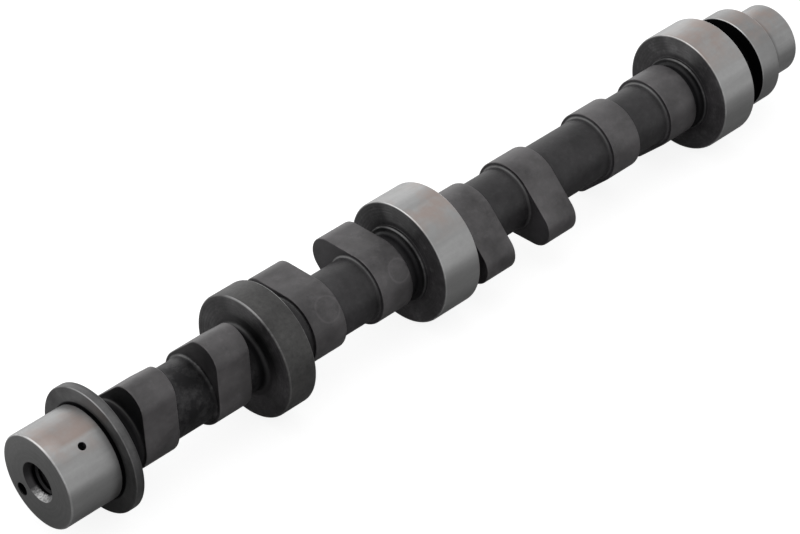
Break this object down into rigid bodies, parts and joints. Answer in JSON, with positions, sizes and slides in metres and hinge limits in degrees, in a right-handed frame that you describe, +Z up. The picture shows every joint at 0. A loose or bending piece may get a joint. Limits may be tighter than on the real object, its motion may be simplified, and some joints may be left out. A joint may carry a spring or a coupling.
{
  "type": "camshaft",
  "caption": "Overhead camshaft of a four-cylinder engine: cam lobes in pairs, ground bearing journals, thrust flange and a drilled front end.",
  "frame": {"origin": "on the shaft's axis, at the middle of the front journal's length", "axes": "+X along the axis from the drilled front end to the rear spigot, +Z up as the shaft lies on its journals, cylinder 1's noses 21 degrees from +Z towards -Y"},
  "size_m": [0.3795, 0.049, 0.049],
  "materials": {
    "cam_iron": "dark phosphated casting with ground bright journals"
  },
  "bodies": {
    "root": {"camshaft": "cam_iron"}
  },
  "joints": []
}
